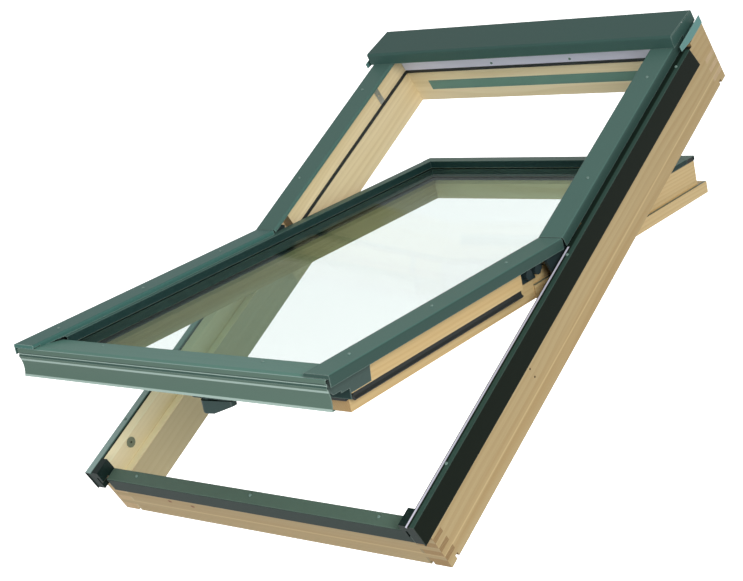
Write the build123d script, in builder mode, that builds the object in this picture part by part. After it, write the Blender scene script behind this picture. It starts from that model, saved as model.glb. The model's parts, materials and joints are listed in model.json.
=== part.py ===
from build123d import *
import os

os.makedirs("parts", exist_ok=True)

# Roof window that turns about a horizontal axis at mid height, in its frame.
# X runs across the window, Y up the slope, Z out of the roof.
# Sections are drawn in depth: millimetres below the outer face of the covers.
# The origin is on the room side of the bottom rail, midway across.

# Frame, overall
frame_width = 780.0
frame_length = 1180.0
frame_depth = 146.0
below_pivot = 592.0
above_pivot = frame_length - below_pivot
half_width = frame_width / 2

# Fits between pieces
sheet = 1.5
sheet_bend = 1.6
running_gap = 0.3
swing_gap = 4.0
sash_side_gap = 6.0

# Side rails of the frame
rail_base = 45.0
rail_wall_low = 28.0
rail_wall_up = 54.0
rail_ledge = 22.0
shoulder_gap = 2.0
rail_outer_top = 22.0
rail_slope_run = 13.0
rail_slope_drop = 10.0
ledge_depth = 70.0
step_depth = 56.0
wall_inner = half_width - rail_wall_low
base_inner = half_width - rail_base
upper_inner = half_width - rail_wall_up
hinge_zone = 60.0

# Bottom and top rails of the frame
bottom_base = 26.0
bottom_wall = 17.0
bottom_wall_top = 47.0
top_base = 38.0
top_wall = 47.0
top_rail_top = 14.0
bottom_inner = -below_pivot + bottom_base
top_base_inner = above_pivot - top_base
top_wall_inner = above_pivot - top_wall

# Comb joints and the lining groove of the frame
finger = 10.0
finger_pitch = 22.0
finger_count = 3
finger_margin = 18.0
groove_width = 7.0
groove_height = 8.0
groove_lip = 3.0
land_width = 18.0

# The origin is the middle of the land outside the lining groove
pivot_y = below_pivot - land_width / 2
pivot_z = frame_depth

# Outer covers, one pair on the frame and one pair on the sash
cover_inset = 17.0
cover_outer = half_width - cover_inset
cover_width = 53.0
cover_inner = cover_outer - cover_width
cover_drop = 20.0
cover_lip = 9.0
upper_cover_lip = 7.0
cover_bend = 4.0
cover_gap = 1.0
edge_turn = 0.5
cover_top_gap = 3.0
cover_top_end = top_wall_inner - cover_top_gap

# Side profiles and their end caps
profile_sheet = 2.0
profile_strip = 17.0
profile_leg = 45.5
profile_top_gap = 23.0
profile_top_end = top_wall_inner - profile_top_gap
profile_slant = 10.0
profile_round = 1.4
profile_overhang = 18.0
strip_inner = half_width + profile_sheet - profile_strip
cap_stand = 2.5
cap_inner = wall_inner - cap_stand
cap_reach = 18.0
cap_outer_lobe = 19.0
cap_inner_lobe = 7.0
cap_bottom = 64.0
cap_lobe_bottom = 50.0
cap_notch_top = 34.0

# Sill cover on the bottom rail
sill_reach = 9.0
sill_lip = 31.0
sill_inner_lip = 5.0
sill_hem = 6.0
sill_hem_drop = 2.0
sill_end_gap = 0.5

# Head: strip, tray and hood
head_strip_gap = 4.0
head_strip_bottom = step_depth - head_strip_gap
head_strip_end_gap = 1.0
tray_overhang = 2.0
tray_wing_top = -4.0
tray_wing_tip = 7.0
tray_wing_reach = 43.0
hood_inset = 14.0
hood_half = half_width - hood_inset
hood_overlap = 41.0
hood_front = top_wall_inner - hood_overlap
hood_rise = 27.0
hood_fall = 9.0
hood_rear_gap = 4.0
hood_skirt = 8.0
hood_bend = 5.0
hood_slant = 2.0

# Sash
sash_depth = 90.0
bead_up = base_inner - swing_gap
sash_body_gap = 5.0
sash_body = upper_inner - sash_body_gap
stile_face = 31.0
sight_half = sash_body - stile_face
sash_low = wall_inner - sash_side_gap
sash_inner_low = base_inner - sash_side_gap
sash_side_depth = 54.0
sash_low_depth = 64.0
sash_bead_depth = 67.0
sash_wood_top = 10.5
sash_end_gap = 5.0
sash_end_low = -below_pivot + bottom_wall + sash_end_gap
sash_inner_end_low = bottom_inner + swing_gap
sash_top_gap = 14.0
sash_end_up = top_wall_inner - sash_top_gap
sash_inner_end_up = top_base_inner - swing_gap
rail_sight_low = 52.0
rail_sight_up = 37.0
low_sight = sash_end_low + rail_sight_low
up_sight = sash_end_up - rail_sight_up
arris = 6.0
eased = 0.5
saddle_gap = 2.0
saddle_inner = sash_body + saddle_gap

# Glass unit
glass_depth = 24.0
pane = 4.0
cavity = 16.0
glass_seal_height = 3.0
glass_cover = 20.0
glass_gap = 2.0
spacer_width = 8.0
seal_width = 14.0
glass_half = sight_half + glass_cover
glass_low = sash_end_low + swing_gap
glass_up = sash_end_up - rail_sight_up + glass_cover
inner_pane_depth = glass_depth + pane + cavity
seal_depth = inner_pane_depth + pane
rebate_depth = seal_depth + glass_seal_height

# Glazing profiles of the sash
glazing_top = cover_lip
glazing_lap = 10.0
glazing_inner = sight_half + glazing_lap
glazing_leg = 9.0

# Bottom cover of the sash
apron_overhang = 8.0
apron_half = sash_low + apron_overhang
apron_reach = 57.0
apron_front = apron_reach - sash_end_low
apron_bottom = 60.0
apron_top = 22.0
apron_flare = 2.0
apron_hollow = 3.0
apron_hem = 7.0
plate_lap = 10.0
plate_edge = sash_end_low + plate_lap
plate_edge_depth = 14.0
plate_run = 30.0
plate_rise = 5.0
ridge_reach = 48.0
ridge = sash_end_low - ridge_reach
ridge_depth = 6.0
ridge_nose = 10.0
ridge_nose_drop = 2.0
ridge_lip = 11.0
ridge_lip_drop = 8.0
ridge_groove = 8.5
ridge_groove_drop = 12.0
ridge_round = 2.0
flange_near = -10.5
flange_width = 18.0

# Ends of the side covers of the sash, folded down over the ridge
cover_end = apron_front
cover_foot = 5.0
cover_foot_length = 16.0
cover_foot_cut = 1.0
cover_end_height = 7.0

# Gaskets
frame_gasket_drop = 5.0
frame_gasket_lip = 3.0
frame_gasket_rise = 3.0
frame_gasket_edge = 2.0
frame_gasket_heel = 3.0
frame_gasket_toe = 4.0
sash_gasket_bottom = 69.0
sash_gasket_body = 12.0
sash_gasket_reach = 16.0
sash_gasket_lip = 3.0

# Turning hinge: a half ring of the frame runs in a half channel of the sash
hinge_ring_inner = 34.0
hinge_ring_outer = 40.0
hinge_wall = 6.0
hinge_start_angle = 5.0
hinge_plate = 5.0
hinge_flange = 3.0
hinge_fit = 0.3
hinge_web_inner = sash_body + hinge_flange
hinge_web_height = 24.0
hinge_ring_length = 12.0
channel_floor = wall_inner - hinge_plate - hinge_ring_length
hinge_plate_half = 50.0
hinge_plate_top = 3.0
hinge_plate_shoulder = 40.0
hinge_plate_foot = 30.0
hinge_plate_bottom = 60.0
hinge_plate_round = 6.0
hinge_hub = 8.0
hinge_hub_depth = 17.0
arm_length = 112.0
arm_top = 20.0
arm_height = 32.0
arm_recess = 13.0
arm_end_gap = 2.0
arm_neck_narrow = 8.0
arm_neck_overlap = 4.0
arm_pocket = sash_low - arm_recess
arm_boss = 9.0
arm_boss_near = 61.0
arm_boss_far = 88.0

# Handle and latch
handle_x = 0.0
handle_y = (sash_inner_end_low + low_sight) / 2
handle_plate_shift = 15.0
handle_plate_length = 100.0
handle_plate_width = 24.0
handle_plate_height = 12.0
neck_radius = 10.0
neck_height = 3.0
spindle_radius = 5.0
spindle_fit = 0.1
knob_radius = 14.0
knob_height = 24.0
lever_length = 54.0
lever_tip = 7.0
lever_tip_height = 8.0
lever_round = 3.0
bolt_width = 16.0
bolt_height = 10.0
bolt_length = 34.0
bolt_depth = 76.0
bolt_setback = 1.0
bolt_slack = 0.6
keep_plate = 2.0
keep_margin = 6.0
keep_edge = 3.0
keep_slack = 1.0
keep_pocket_slack = 2.0
keep_pocket = 14.0

# Vent in the top rail
vent_margin = 45.0
vent_half = base_inner - vent_margin
vent_top = 92.0
vent_height = 25.0
vent_border = 1.5
vent_flap_thickness = 2.0
vent_reveal = 4.0
vent_pin = 1.5
vent_pin_fit = 0.05
vent_pin_top = 0.2
vent_pin_end = 0.5
vent_hole_end = 0.4
vent_slots = 48
vent_slot_width = 3.0
vent_slot_height = 14.0

# Small fittings
bushing_from_end = 78.0
bushing_y = -below_pivot + bushing_from_end
bushing_depth = 44.0
bushing_radius = 9.0
bushing_bore = 2.5
bushing_rim = 1.0
bushing_flange = 1.5
keep_plate_setback = 105.0
keep_plate_y = top_wall_inner - keep_plate_setback
keep_plate_width = 14.0
keep_plate_top = 14.0
keep_plate_gap = 4.0
keep_plate_bottom = step_depth - keep_plate_gap
keep_plate_hole = 2.0
corner_plate_low = -ridge
corner_plate_length = 100.0
corner_plate_up = corner_plate_low - corner_plate_length
corner_plate_top = 12.0
corner_plate_bottom = 52.0
corner_plate_neck = 40.0
corner_plate_tip = 8.0
corner_plate_slant = 6.0
corner_notch = 25.0
corner_plate_rest = bottom_wall_top - 2 * sheet
corner_plate_step = 20.0
fixing_y = -234.0
fixing_depth = 74.0
fixing_spacing = 20.0
fixing_radius = 2.0
fixing_hole = 25.0

# Screws
screw_head = 3.0
screw_head_height = 1.5
screw_shank = 1.8
screw_length = 14.0
screw_slack = 0.1
side_screw_low = 110.0
side_screw_middle = -20.0
side_screw_up = 48.0
sill_screw_half = 290.0
head_screw_half = 98.0
head_screw_drop = 30.0
bottom_screw_half = 190.0
bottom_screw_back = 20.0
cover_screw_low = 81.0
cover_screw_pitch = 208.0
upper_screw_inset = 21.0
upper_screw_low = 150.0
upper_screw_up = 118.0

# How far the sash stands open
open_angle = 26.6

pivot = Axis((0, pivot_y, pivot_z), (-1, 0, 0))


def across(y):
    """Plane for a section across the window at y, drawn as (x, depth)."""
    return Plane(origin=(0, pivot_y + y, pivot_z), x_dir=(1, 0, 0), z_dir=(0, 1, 0))


def along(x):
    """Plane for a section along the slope at x, drawn as (y, depth)."""
    return Plane(origin=(x, pivot_y, pivot_z), x_dir=(0, 1, 0), z_dir=(-1, 0, 0))


def level(depth):
    """Plane parallel to the glass at a depth, drawn as (x, y)."""
    return Plane(origin=(0, pivot_y, pivot_z - depth), x_dir=(1, 0, 0), z_dir=(0, 0, 1))


def polygon(plane, *points):
    """Face with straight sides on a plane."""
    with BuildSketch(plane) as face:
        with BuildLine():
            Polyline(*points, close=True)
        make_face()
    return face.sketch


def rectangle(plane, low, high):
    """Rectangular face on a plane, between two opposite corners."""
    return polygon(plane, low, (high[0], low[1]), high, (low[0], high[1]))


def folded(plane, radius, *points):
    """Section of a bent sheet: its outer face follows the points, its thickness is on their right."""
    with BuildSketch(plane) as face:
        with BuildLine():
            FilletPolyline(*points, radius=radius)
            offset(amount=sheet, side=Side.RIGHT)
        make_face()
    return face.sketch


def save(part, label, on_sash=False):
    """Label a finished piece, open it with the sash where it rides on it, and write it."""
    if on_sash:
        part = part.rotate(pivot, open_angle)
    part.label = label
    export_step(part, f"parts/{label}.step")


def save_pair(part, name, on_sash=False):
    """Write the right piece and its mirror image on the left."""
    save(part, f"{name}_right", on_sash)
    save(part.mirror(Plane.YZ), f"{name}_left", on_sash)


def finger_depths():
    """Depth of the near side of each comb finger."""
    return [frame_depth - finger_margin - finger - finger_pitch * i for i in range(finger_count)]


def screws(places):
    """Screws with a domed head, one at each (plane, x, y), with heads on the plane."""
    with BuildPart() as group:
        for plane, x, y in places:
            with BuildSketch(plane) as head:
                with Locations((x, y)):
                    Circle(screw_head)
            extrude(head.sketch, amount=screw_head_height, taper=25)
            with BuildSketch(plane) as shank:
                with Locations((x, y)):
                    Circle(screw_shank)
            extrude(shank.sketch, amount=-screw_length)
    return group.part


def screw_holes(places):
    """Clearance holes for the shanks of the same screws."""
    with BuildPart() as holes:
        for plane, x, y in places:
            with BuildSketch(plane) as hole:
                with Locations((x, y)):
                    Circle(screw_shank + screw_slack)
            extrude(hole.sketch, amount=-(screw_length + screw_slack))
    return holes.part


# Where the screws are
side_screw_x = half_width - profile_strip / 2 + profile_sheet
side_screw_y = [-below_pivot + side_screw_low, side_screw_middle, profile_top_end - side_screw_up]
side_screws = [
    (level(rail_outer_top - profile_sheet), side * side_screw_x, y)
    for side in (-1, 1)
    for y in side_screw_y
]
sill_screws = [
    (level(bottom_wall_top - sheet), x, -below_pivot + bottom_wall / 2)
    for x in (-sill_screw_half, 0, sill_screw_half)
]
head_screw_plane = Plane(
    origin=(0, pivot_y + top_wall_inner - sheet, pivot_z), x_dir=(1, 0, 0), z_dir=(0, -1, 0)
)
head_screws = [
    (head_screw_plane, x, -top_rail_top - head_screw_drop) for x in (-head_screw_half, head_screw_half)
]
plate_slope = Plane(
    origin=(0, pivot_y + plate_edge, pivot_z - plate_edge_depth),
    x_dir=(1, 0, 0),
    z_dir=(0, plate_rise, plate_run),
)
bottom_screws = [(plate_slope, x, -bottom_screw_back) for x in (-bottom_screw_half, bottom_screw_half)]
cover_screw_x = (saddle_inner + sash_low) / 2
cover_screws = [
    (level(0), side * cover_screw_x, cover_screw_low - apron_front + cover_screw_pitch * i)
    for side in (-1, 1)
    for i in range(3)
]
upper_cover_screws = [
    (level(0), side * (cover_outer - upper_screw_inset), y)
    for side in (-1, 1)
    for y in (upper_screw_low, cover_top_end - upper_screw_up)
]

# Side rails of the frame: rebate open outwards below the hinge, inwards above it
with BuildPart() as side_rail:
    low_section = polygon(
        across(-below_pivot),
        (half_width, frame_depth),
        (half_width, rail_outer_top),
        (wall_inner + rail_slope_run, rail_outer_top),
        (wall_inner, rail_outer_top + rail_slope_drop),
        (wall_inner, ledge_depth),
        (base_inner, ledge_depth),
        (base_inner, frame_depth),
    )
    extrude(low_section, amount=below_pivot + hinge_zone)
    up_section = polygon(
        across(hinge_zone),
        (half_width, frame_depth),
        (half_width, rail_outer_top),
        (half_width - rail_ledge, rail_outer_top),
        (half_width - rail_ledge, sheet),
        (upper_inner, sheet),
        (upper_inner, step_depth),
        (base_inner, step_depth),
        (base_inner, frame_depth),
    )
    extrude(up_section, amount=top_wall_inner - hinge_zone)
    end_section = rectangle(
        across(top_wall_inner), (base_inner, top_rail_top), (half_width, frame_depth)
    )
    extrude(end_section, amount=top_wall)
    shoulder_start = profile_top_end + profile_slant + shoulder_gap
    shoulder = rectangle(
        across(shoulder_start), (cover_outer + running_gap, top_rail_top), (half_width, rail_outer_top)
    )
    extrude(shoulder, amount=top_wall_inner - shoulder_start)
    for near in finger_depths():
        low_finger = rectangle(across(-below_pivot), (base_inner, near), (half_width, near + finger))
        extrude(low_finger, amount=bottom_base, mode=Mode.SUBTRACT)
        up_finger = rectangle(across(above_pivot), (base_inner, near), (half_width, near + finger))
        extrude(up_finger, amount=-top_base, mode=Mode.SUBTRACT)
    lining = rectangle(
        across(-below_pivot),
        (base_inner + groove_lip, frame_depth - groove_height),
        (base_inner + groove_lip + groove_width, frame_depth),
    )
    extrude(lining, amount=frame_length, mode=Mode.SUBTRACT)
    for groove_y in (-below_pivot + land_width, above_pivot - land_width - groove_width):
        crossing = rectangle(
            along(half_width), (groove_y, frame_depth - groove_height), (groove_y + groove_width, frame_depth)
        )
        extrude(crossing, amount=rail_base, mode=Mode.SUBTRACT)
    with BuildSketch(along(half_width)) as fixing:
        with Locations((fixing_y, fixing_depth), (fixing_y, fixing_depth + fixing_spacing)):
            Circle(fixing_radius)
    extrude(fixing.sketch, amount=fixing_hole, mode=Mode.SUBTRACT)

frame_holes = screw_holes(side_screws + sill_screws + head_screws + upper_cover_screws)
frame_rail_right = side_rail.part - frame_holes
save(frame_rail_right, "frame_rail_right")

# The left rail also takes the bolt bushing
with BuildPart() as bushing_hole:
    with BuildSketch(along(-wall_inner)) as hole:
        with Locations((bushing_y, bushing_depth)):
            Circle(bushing_radius)
    extrude(hole.sketch, amount=rail_wall_low - sash_side_gap)
frame_rail_left = side_rail.part.mirror(Plane.YZ) - bushing_hole.part - frame_holes
save(frame_rail_left, "frame_rail_left")

with BuildPart() as bolt_bushing:
    with BuildSketch(along(-wall_inner)) as body:
        with Locations((bushing_y, bushing_depth)):
            Circle(bushing_radius - running_gap / 3)
    extrude(body.sketch, amount=rail_wall_low - sash_side_gap)
    with BuildSketch(along(-wall_inner)) as flange:
        with Locations((bushing_y, bushing_depth)):
            Circle(bushing_radius + bushing_rim)
    extrude(flange.sketch, amount=-bushing_flange)
    with BuildSketch(along(-wall_inner + bushing_flange)) as bore:
        with Locations((bushing_y, bushing_depth)):
            Circle(bushing_bore)
    extrude(bore.sketch, amount=rail_wall_low - sash_side_gap - sheet, mode=Mode.SUBTRACT)
save(bolt_bushing.part, "bolt_bushing")

# Bottom rail of the frame, with the keep pocket for the latch bolt
keep_half_x = bolt_width / 2 + keep_margin
keep_half_z = bolt_height / 2 + keep_edge
bolt_mid = bolt_depth + bolt_height / 2
with BuildPart() as bottom_rail:
    bottom_section = polygon(
        along(0),
        (-below_pivot, frame_depth),
        (-below_pivot, ledge_depth),
        (bottom_inner, ledge_depth),
        (bottom_inner, frame_depth),
    )
    extrude(bottom_section, amount=base_inner, both=True)
    wall_section = polygon(
        along(0),
        (-below_pivot, ledge_depth),
        (-below_pivot, bottom_wall_top),
        (-below_pivot + bottom_wall - eased, bottom_wall_top),
        (-below_pivot + bottom_wall, bottom_wall_top + eased),
        (-below_pivot + bottom_wall, ledge_depth),
    )
    extrude(wall_section, amount=wall_inner, both=True)
    for near in finger_depths():
        tongue = rectangle(along(0), (-below_pivot, near), (bottom_inner, near + finger))
        extrude(tongue, amount=half_width, both=True)
    groove = rectangle(
        along(0),
        (-below_pivot + land_width, frame_depth - groove_height),
        (-below_pivot + land_width + groove_width, frame_depth),
    )
    extrude(groove, amount=base_inner, both=True, mode=Mode.SUBTRACT)
    plate_seat = rectangle(
        across(bottom_inner),
        (handle_x - keep_half_x, bolt_mid - keep_half_z),
        (handle_x + keep_half_x, bolt_mid + keep_half_z),
    )
    extrude(plate_seat, amount=-keep_plate, mode=Mode.SUBTRACT)
    pocket = rectangle(
        across(bottom_inner),
        (handle_x - bolt_width / 2 - keep_pocket_slack, bolt_mid - bolt_height / 2 - keep_pocket_slack),
        (handle_x + bolt_width / 2 + keep_pocket_slack, bolt_mid + bolt_height / 2 + keep_pocket_slack),
    )
    extrude(pocket, amount=-keep_pocket, mode=Mode.SUBTRACT)
save(bottom_rail.part - frame_holes, "frame_rail_bottom")

with BuildPart() as latch_keep:
    plate_face = rectangle(
        across(bottom_inner),
        (handle_x - keep_half_x, bolt_mid - keep_half_z),
        (handle_x + keep_half_x, bolt_mid + keep_half_z),
    )
    extrude(plate_face, amount=-keep_plate)
    slot = rectangle(
        across(bottom_inner),
        (handle_x - bolt_width / 2 - keep_slack, bolt_mid - bolt_height / 2 - keep_slack),
        (handle_x + bolt_width / 2 + keep_slack, bolt_mid + bolt_height / 2 + keep_slack),
    )
    extrude(slot, amount=-keep_plate, mode=Mode.SUBTRACT)
save(latch_keep.part, "latch_keep")

# Top rail of the frame, with the opening for the vent
vent_bottom = vent_top + vent_height
with BuildPart() as top_rail:
    top_base_section = rectangle(along(0), (top_base_inner, step_depth), (above_pivot, frame_depth))
    extrude(top_base_section, amount=base_inner, both=True)
    top_wall_section = rectangle(along(0), (top_wall_inner, top_rail_top), (above_pivot, step_depth))
    extrude(top_wall_section, amount=base_inner, both=True)
    for near in finger_depths():
        tongue = rectangle(along(0), (top_base_inner, near), (above_pivot, near + finger))
        extrude(tongue, amount=half_width, both=True)
    groove = rectangle(
        along(0),
        (above_pivot - land_width - groove_width, frame_depth - groove_height),
        (above_pivot - land_width, frame_depth),
    )
    extrude(groove, amount=base_inner, both=True, mode=Mode.SUBTRACT)
    vent_cut = rectangle(along(0), (top_base_inner, vent_top), (above_pivot, vent_bottom))
    extrude(vent_cut, amount=vent_half, both=True, mode=Mode.SUBTRACT)
save(top_rail.part - frame_holes, "frame_rail_top")

# Vent body: a duct through the top rail with a slotted screen at its outer end
flap_half = vent_half - vent_border - running_gap
flap_y = top_base_inner + running_gap
flap_top = vent_top + vent_border + running_gap
flap_axis_depth = flap_top + vent_pin + vent_pin_top
flap_axis_y = flap_y + vent_flap_thickness / 2
with BuildPart() as vent_body:
    duct = rectangle(along(0), (top_base_inner, vent_top), (above_pivot, vent_bottom))
    extrude(duct, amount=vent_half, both=True)
    reveal = rectangle(
        along(0),
        (top_base_inner, vent_top + vent_border),
        (top_base_inner + vent_reveal, vent_bottom - vent_border),
    )
    extrude(reveal, amount=vent_half - vent_border, both=True, mode=Mode.SUBTRACT)
    with BuildSketch(across(above_pivot)) as slots:
        with Locations((0, (vent_top + vent_bottom) / 2)):
            with GridLocations(2 * flap_half / vent_slots, 1, vent_slots, 1):
                Rectangle(vent_slot_width, vent_slot_height)
    extrude(slots.sketch, amount=-top_base, mode=Mode.SUBTRACT)
    with BuildSketch(along(0)) as pin_hole:
        with Locations((flap_axis_y, flap_axis_depth)):
            Circle(vent_pin + vent_pin_fit)
    extrude(pin_hole.sketch, amount=vent_half - vent_hole_end, both=True, mode=Mode.SUBTRACT)
save(vent_body.part, "vent_body")

with BuildPart() as vent_flap:
    plate_section = rectangle(
        along(0),
        (flap_y, flap_top),
        (flap_y + vent_flap_thickness, vent_bottom - vent_border - running_gap),
    )
    extrude(plate_section, amount=flap_half, both=True)
    with BuildSketch(along(0)) as pin:
        with Locations((flap_axis_y, flap_axis_depth)):
            Circle(vent_pin)
    extrude(pin.sketch, amount=vent_half - vent_pin_end, both=True)
save(vent_flap.part, "vent_flap")

# Side profiles: a strip on top of the rail and a leg down its side, cut slanted at the head
profile_x = half_width + profile_sheet
with BuildPart() as side_profile:
    section = polygon(
        across(-below_pivot - profile_overhang),
        (profile_x, rail_outer_top - profile_sheet),
        (profile_x, rail_outer_top - profile_sheet + profile_leg),
        (half_width, rail_outer_top - profile_sheet + profile_leg),
        (half_width, rail_outer_top),
        (strip_inner, rail_outer_top),
        (strip_inner, rail_outer_top - profile_sheet),
    )
    extrude(section, amount=below_pivot + profile_overhang + profile_top_end + profile_slant)
    outer_edge = side_profile.edges().filter_by(Axis.Y).group_by(Axis.X)[-1].sort_by(Axis.Z)[-1]
    fillet(outer_edge, profile_round)
    slant = polygon(
        along(profile_x),
        (profile_top_end, rail_outer_top - profile_sheet),
        (profile_top_end + profile_slant, rail_outer_top - profile_sheet + profile_leg),
        (profile_top_end + profile_slant, rail_outer_top - profile_sheet),
    )
    extrude(slant, amount=profile_strip, mode=Mode.SUBTRACT)
save_pair(side_profile.part - frame_holes, "side_profile")

# End caps of the side profiles: two lobes under the overhang, and a block lying on the rail
cap_top = rail_outer_top - profile_sheet
cap_front = -below_pivot - profile_overhang + sheet
with BuildPart() as end_cap:
    lobes = polygon(
        across(cap_front),
        (half_width, rail_outer_top),
        (half_width, cap_bottom),
        (half_width - cap_outer_lobe, cap_bottom),
        (half_width - cap_outer_lobe, cap_notch_top),
        (cap_inner + cap_inner_lobe, cap_notch_top),
        (cap_inner + cap_inner_lobe, cap_lobe_bottom),
        (cap_inner, cap_lobe_bottom - cap_inner_lobe),
        (cap_inner, cap_top),
        (strip_inner, cap_top),
        (strip_inner, rail_outer_top),
    )
    extrude(lobes, amount=-below_pivot - cap_front)
    block = polygon(
        across(-below_pivot),
        (strip_inner, cap_top),
        (wall_inner + rail_slope_run, rail_outer_top),
        (wall_inner, rail_outer_top + rail_slope_drop),
        (wall_inner, bottom_wall_top),
        (cap_inner, bottom_wall_top),
        (cap_inner, cap_top),
    )
    extrude(block, amount=cap_reach)
save_pair(end_cap.part, "profile_end_cap")

# Sill cover: folded sheet over the wall of the bottom rail
sill_front = -below_pivot - sill_reach
sill_top = bottom_wall_top - sheet
with BuildPart() as sill_cover:
    section = folded(
        along(0),
        sheet_bend,
        (-below_pivot + bottom_wall + sheet, sill_top + sill_inner_lip),
        (-below_pivot + bottom_wall + sheet, sill_top),
        (sill_front, sill_top),
        (sill_front, sill_top + sill_lip),
        (sill_front + sill_hem, sill_top + sill_lip + sill_hem_drop),
    )
    extrude(section, amount=cap_inner - sill_end_gap, both=True)
save(sill_cover.part - frame_holes, "sill_cover")

# Head strip on the inner face of the top rail
with BuildPart() as head_strip:
    section = polygon(
        along(0),
        (top_wall_inner, top_rail_top),
        (top_wall_inner, head_strip_bottom),
        (top_wall_inner - sheet, head_strip_bottom),
        (top_wall_inner - sheet, top_rail_top),
    )
    extrude(section, amount=upper_inner - head_strip_end_gap, both=True)
save(head_strip.part - frame_holes, "head_strip")

# Head tray: sheet over the top rail with a wing standing along each side
tray_end = above_pivot + tray_overhang
with BuildPart() as head_tray:
    plate = rectangle(along(0), (top_wall_inner, top_rail_top - sheet), (tray_end, top_rail_top))
    extrude(plate, amount=half_width, both=True)
    for side in (-1, 1):
        wing_outline = polygon(
            along(side * half_width),
            (top_wall_inner - tray_wing_reach, tray_wing_top),
            (tray_end, tray_wing_top),
            (tray_end, top_rail_top),
            (top_wall_inner, top_rail_top),
            (top_wall_inner - tray_wing_reach, tray_wing_tip),
        )
        extrude(wing_outline, amount=side * sheet)
save(head_tray.part, "head_tray")

# Hood over the head of the window
hood_end = above_pivot + hood_rear_gap
with BuildPart() as hood:
    section = folded(
        along(0),
        hood_bend,
        (hood_end, hood_skirt),
        (hood_end, hood_fall - hood_rise),
        (hood_front + hood_slant, -hood_rise),
        (hood_front, -running_gap),
    )
    extrude(section, amount=hood_half, both=True)
    for side in (-1, 1):
        end_plate = polygon(
            along(side * hood_half),
            (hood_front + eased, -running_gap),
            (hood_front + 2 * hood_slant, 2 * sheet - hood_rise),
            (hood_end - hood_slant, 2 * sheet + hood_fall - hood_rise),
            (hood_end - hood_slant, hood_skirt),
            (cover_top_end + running_gap, hood_skirt),
            (cover_top_end + running_gap, -running_gap),
        )
        extrude(end_plate, amount=side * sheet)
save(hood.part, "hood")

# Upper covers, fixed to the frame
with BuildPart() as upper_cover:
    section = folded(
        across(cover_gap),
        cover_bend,
        (cover_outer, cover_drop - edge_turn),
        (cover_outer, 0),
        (cover_inner, 0),
        (cover_inner, upper_cover_lip),
    )
    extrude(section, amount=cover_top_end - cover_gap)
save_pair(upper_cover.part - frame_holes, "upper_cover")

# Frame gaskets, under the step of the upper half
gasket_bottom = step_depth + frame_gasket_drop
with BuildPart() as frame_gasket:
    section = polygon(
        across(hinge_zone),
        (base_inner, step_depth),
        (base_inner, gasket_bottom - frame_gasket_heel),
        (upper_inner - frame_gasket_lip + frame_gasket_toe, gasket_bottom),
        (upper_inner - frame_gasket_lip, gasket_bottom - frame_gasket_edge),
        (upper_inner - frame_gasket_lip, step_depth - frame_gasket_rise),
        (upper_inner, step_depth - frame_gasket_rise),
        (upper_inner, step_depth),
    )
    extrude(section, amount=top_wall_inner - hinge_zone - frame_gasket_lip)
save_pair(frame_gasket.part, "frame_gasket")

with BuildPart() as frame_gasket_top:
    under_step = polygon(
        along(0),
        (top_base_inner, step_depth),
        (top_base_inner, gasket_bottom - frame_gasket_heel),
        (top_wall_inner - frame_gasket_lip + frame_gasket_toe, gasket_bottom),
        (top_wall_inner - frame_gasket_lip, gasket_bottom - frame_gasket_edge),
        (top_wall_inner - frame_gasket_lip, step_depth),
    )
    extrude(under_step, amount=base_inner, both=True)
    lip = rectangle(
        along(0),
        (top_wall_inner - frame_gasket_lip, head_strip_bottom),
        (top_wall_inner, step_depth),
    )
    extrude(lip, amount=upper_inner - frame_gasket_lip, both=True)
save(frame_gasket_top.part, "frame_gasket_top")

# Keep plate on the upper left wall
with BuildPart() as upper_keep:
    outline = rectangle(
        along(-upper_inner),
        (keep_plate_y - keep_plate_width / 2, keep_plate_top),
        (keep_plate_y + keep_plate_width / 2, keep_plate_bottom),
    )
    extrude(outline, amount=-sheet)
    with BuildSketch(along(-upper_inner)) as slot:
        with Locations((keep_plate_y, (keep_plate_top + keep_plate_bottom) / 2)):
            Circle(keep_plate_hole)
    extrude(slot.sketch, amount=-sheet, mode=Mode.SUBTRACT)
save(upper_keep.part, "upper_keep_plate")


def half_ring(x, inner, outer, start):
    """Half ring below the covers, about the pivot, in the plane at x."""
    with BuildSketch(along(x)) as ring:
        with BuildLine():
            near = PolarLocations(inner, 2, start, 180 - 2 * start, endpoint=True).local_locations
            far = PolarLocations(outer, 2, start, 180 - 2 * start, endpoint=True).local_locations
            ThreePointArc(near[0].position, (0, inner), near[1].position)
            Line(near[1].position, far[1].position)
            ThreePointArc(far[1].position, (0, outer), far[0].position)
            Line(far[0].position, near[0].position)
        make_face()
    return ring.sketch


# Frame side of the hinge: a plate on the rail with a half ring standing from it
plate_inner = wall_inner - hinge_plate
ring_end = channel_floor + hinge_fit
with BuildPart() as hinge_frame:
    with BuildSketch(along(wall_inner)) as plate_face:
        with BuildLine():
            Polyline(
                (-hinge_plate_half, hinge_plate_top),
                (hinge_plate_half, hinge_plate_top),
                (hinge_plate_half, hinge_plate_shoulder),
                (hinge_plate_foot, hinge_plate_bottom),
                (-hinge_plate_foot, hinge_plate_bottom),
                (-hinge_plate_half, hinge_plate_shoulder),
                close=True,
            )
        make_face()
        fillet(plate_face.vertices(), hinge_plate_round)
    extrude(plate_face.sketch, amount=hinge_plate)
    extrude(
        half_ring(plate_inner, hinge_ring_inner, hinge_ring_outer, hinge_start_angle),
        amount=plate_inner - ring_end,
    )
    with BuildSketch(along(plate_inner)) as hub:
        with Locations((0, hinge_hub_depth)):
            Circle(hinge_hub)
    extrude(hub.sketch, amount=hinge_plate)
save_pair(hinge_frame.part, "hinge_frame")

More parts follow.
